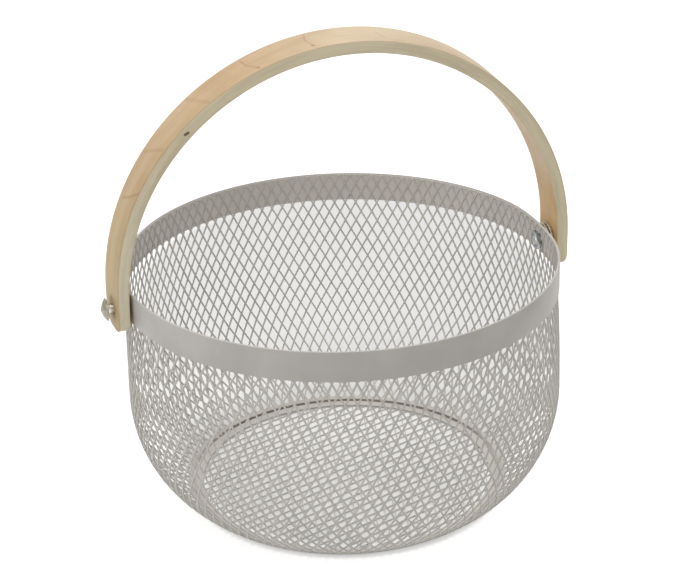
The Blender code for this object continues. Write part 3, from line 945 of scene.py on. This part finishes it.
def set_camera():
    ahead = Vector((math.sin(-CAMERA_TURN) * math.cos(CAMERA_RISE),
                    math.cos(CAMERA_TURN) * math.cos(CAMERA_RISE),
                    -math.sin(CAMERA_RISE)))
    right = Vector((math.cos(CAMERA_TURN), math.sin(CAMERA_TURN), 0))
    up = right.cross(ahead)
    tilted_right = math.cos(CAMERA_ROLL) * right - math.sin(CAMERA_ROLL) * up
    tilted_up = math.cos(CAMERA_ROLL) * up + math.sin(CAMERA_ROLL) * right
    place = Vector(CAMERA_AIM) - ahead * CAMERA_DISTANCE
    data = bpy.data.cameras.new("camera")
    data.sensor_fit = "HORIZONTAL"
    data.sensor_width = SENSOR_WIDTH
    data.lens = LENS_PIXELS / PHOTO_WIDTH * SENSOR_WIDTH
    data.clip_start = 0.01
    data.clip_end = 50
    camera = bpy.data.objects.new("camera", data)
    bpy.context.scene.collection.objects.link(camera)
    turn = Matrix((tilted_right, tilted_up, -ahead)).transposed().to_4x4()
    camera.matrix_world = Matrix.Translation(place) @ turn
    bpy.context.scene.camera = camera


def add_lamp(name, place, size, power):
    data = bpy.data.lights.new(name, "AREA")
    data.shape = "DISK"
    data.size = size
    data.energy = power
    lamp = bpy.data.objects.new(name, data)
    bpy.context.scene.collection.objects.link(lamp)
    toward = (Vector(LAMP_AIM) - Vector(place)).to_track_quat("-Z", "Y")
    lamp.matrix_world = Matrix.Translation(place) @ toward.to_matrix().to_4x4()


def set_stage():
    start()
    bpy.ops.mesh.primitive_plane_add(size=24, location=(0, 0, 0))
    floor = bpy.context.object
    floor.name = "floor"
    paper = Finish("white_paper", roughness=0.9, specular=0.0)
    paper.give(Base_Color=PAPER_WHITE)
    x, y, _ = paper.parts(paper.place())
    sideways = x * math.cos(CAMERA_TURN) - y * math.sin(-CAMERA_TURN)
    back = behind(x, y)
    middle = back.most(0).least(PATCH_LENGTH)
    reach = PATCH_RADIUS - PATCH_NARROWING * paper.node(
        "ShaderNodeMath", {"operation": "EXPONENT"}, {0: middle * -PATCH_CURVE})
    beyond = (sideways ** 2 + (back - middle) ** 2) ** 0.5 - reach
    # Painted shadow: within the patch, the floor's glow is lowered
    shade = paper.ramp(back, -0.02, 0.075, 0.49, 0.38) + paper.ramp(back, 0.10, 0.18, 0, 0.13)
    shade = paper.ramp(beyond, -0.016, 0.004, 1, 0) * shade
    glow = paper.node("ShaderNodeEmission", {}, {
        "Color": (1, 1, 1, 1), "Strength": paper.seen() * (FLOOR_GLOW - shade)})
    both = paper.node("ShaderNodeAddShader", {}, {
        0: Signal(paper, paper.shader.outputs[0]), 1: glow})
    paper.feed(paper.tree.nodes["Material Output"].inputs["Surface"], both)
    wear(floor, paper.material)
    world = bpy.data.worlds.new("studio")
    studio = Nodes(world)
    background = studio.tree.nodes["Background"].inputs
    background["Color"].default_value = (1, 1, 1, 1)
    studio.feed(background["Strength"], WORLD_LIGHT + (1 - WORLD_LIGHT) * studio.seen())
    bpy.context.scene.world = world
    for name, (place, size, power) in LAMPS.items():
        add_lamp(name, place, size, power)


def main():
    bpy.context.scene.view_settings.view_transform = "Standard"
    set_camera()
    set_stage()
    coat = grey_coat("grey_coat", STRAND_GREY)
    plates = {kind: zinc_plate(kind) for kind in ZINC}
    add_piece(make_wall_sheet(), "basket", "wall_mesh",
              grey_coat("grey_coat_sheet", STRAND_GREY, "sheet"), "wall_mesh")
    add_piece(make_foot_hem(), "basket", "wall_mesh",
              grey_coat("grey_coat_foot", STRAND_GREY, "foot"))
    add_piece(make_base_sheet(), "basket", "base_mesh", coat, "base_mesh")
    # The rim's coat carries painted shade on its front and painted light at its back
    add_piece(make_rim(), "basket", "rim_band", grey_coat("grey_coat_rim", BAND_SHADE_GREY, "rim"),
              "rim_band")
    ring = flat_ring("clamp_ring", RING_INNER, RING_OUTER, RING_BOTTOM,
                     RING_BOTTOM + RING_THICKNESS, FOOT_STEPS, FOOT_ROUNDING)
    add_piece(ring, "basket", "base_ring", coat, "base_ring")
    add_piece(make_handle(), "handle", "handle", birch(), "handle")
    for end, side in (("left", -1), ("right", 1)):
        add_piece(make_screw(end, side), "basket", "pivot_screw", plates["screw"],
                  "pivot_screw_" + end)
        for name, (inner, outer, radius) in DISC_PLACES[side].items():
            washer = flat_ring(name.replace("washer", "disc") + end, HOLE_RADIUS, radius,
                               0, outer - inner, 64, DISC_ROUNDING)
            place_out(washer, side, inner)
            # The left washers wear zinc painted dark, as painted shade
            plate = plates["painted_shade" if side < 0 else "bright"]
            add_piece(washer, "basket", "washer", plate, name + end)
        nut = make_nut(end)
        place_out(nut, side, NUT_INSIDE[side] + NUT_THICKNESS / 2)
        add_piece(nut, "basket", "nut", plates["nut"], "nut_" + end)


main()
